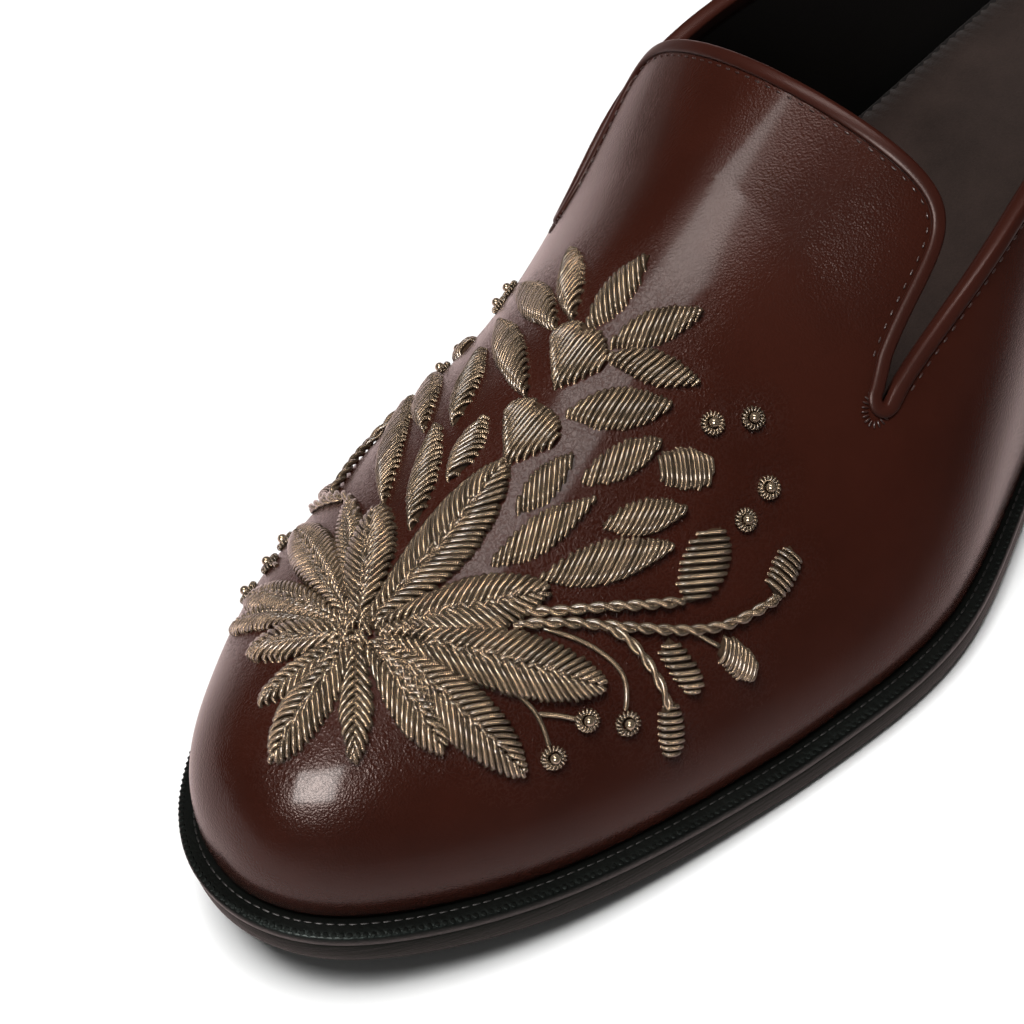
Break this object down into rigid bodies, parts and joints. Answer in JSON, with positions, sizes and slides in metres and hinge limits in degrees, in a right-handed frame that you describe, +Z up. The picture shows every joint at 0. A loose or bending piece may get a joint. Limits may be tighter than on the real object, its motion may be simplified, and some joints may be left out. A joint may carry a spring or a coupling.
{
  "type": "loafer shoe",
  "caption": "Right-foot slip-on loafer: hollow leather upper with tongue vamp and side slits, rolled topline, welt, leather sole and stacked heel, raised metal-thread floral embroidery.",
  "frame": {"origin": "on the floor, below the middle of the sole's outline", "axes": "+X from heel to toe, +Y to the inner (medial) side of the foot, +Z up"},
  "size_m": [0.298, 0.0975, 0.0858],
  "materials": {
    "upper_leather": "polished smooth oxblood calf",
    "binding_leather": "polished folded oxblood calf",
    "insole_suede": "matt brushed dark brown",
    "welt_leather": "black, waxed",
    "sole_leather": "dark dyed edge, semi-matt",
    "heel_leather": "dark dyed stacked leather, semi-matt",
    "heel_rubber": "matt black"
  },
  "bodies": {
    "root": {"upper": "upper_leather", "topline_binding": "binding_leather", "insole": "insole_suede", "welt": "welt_leather", "outsole": "sole_leather", "heel_stack": "heel_leather", "heel_top_piece": "heel_rubber"}
  },
  "joints": []
}
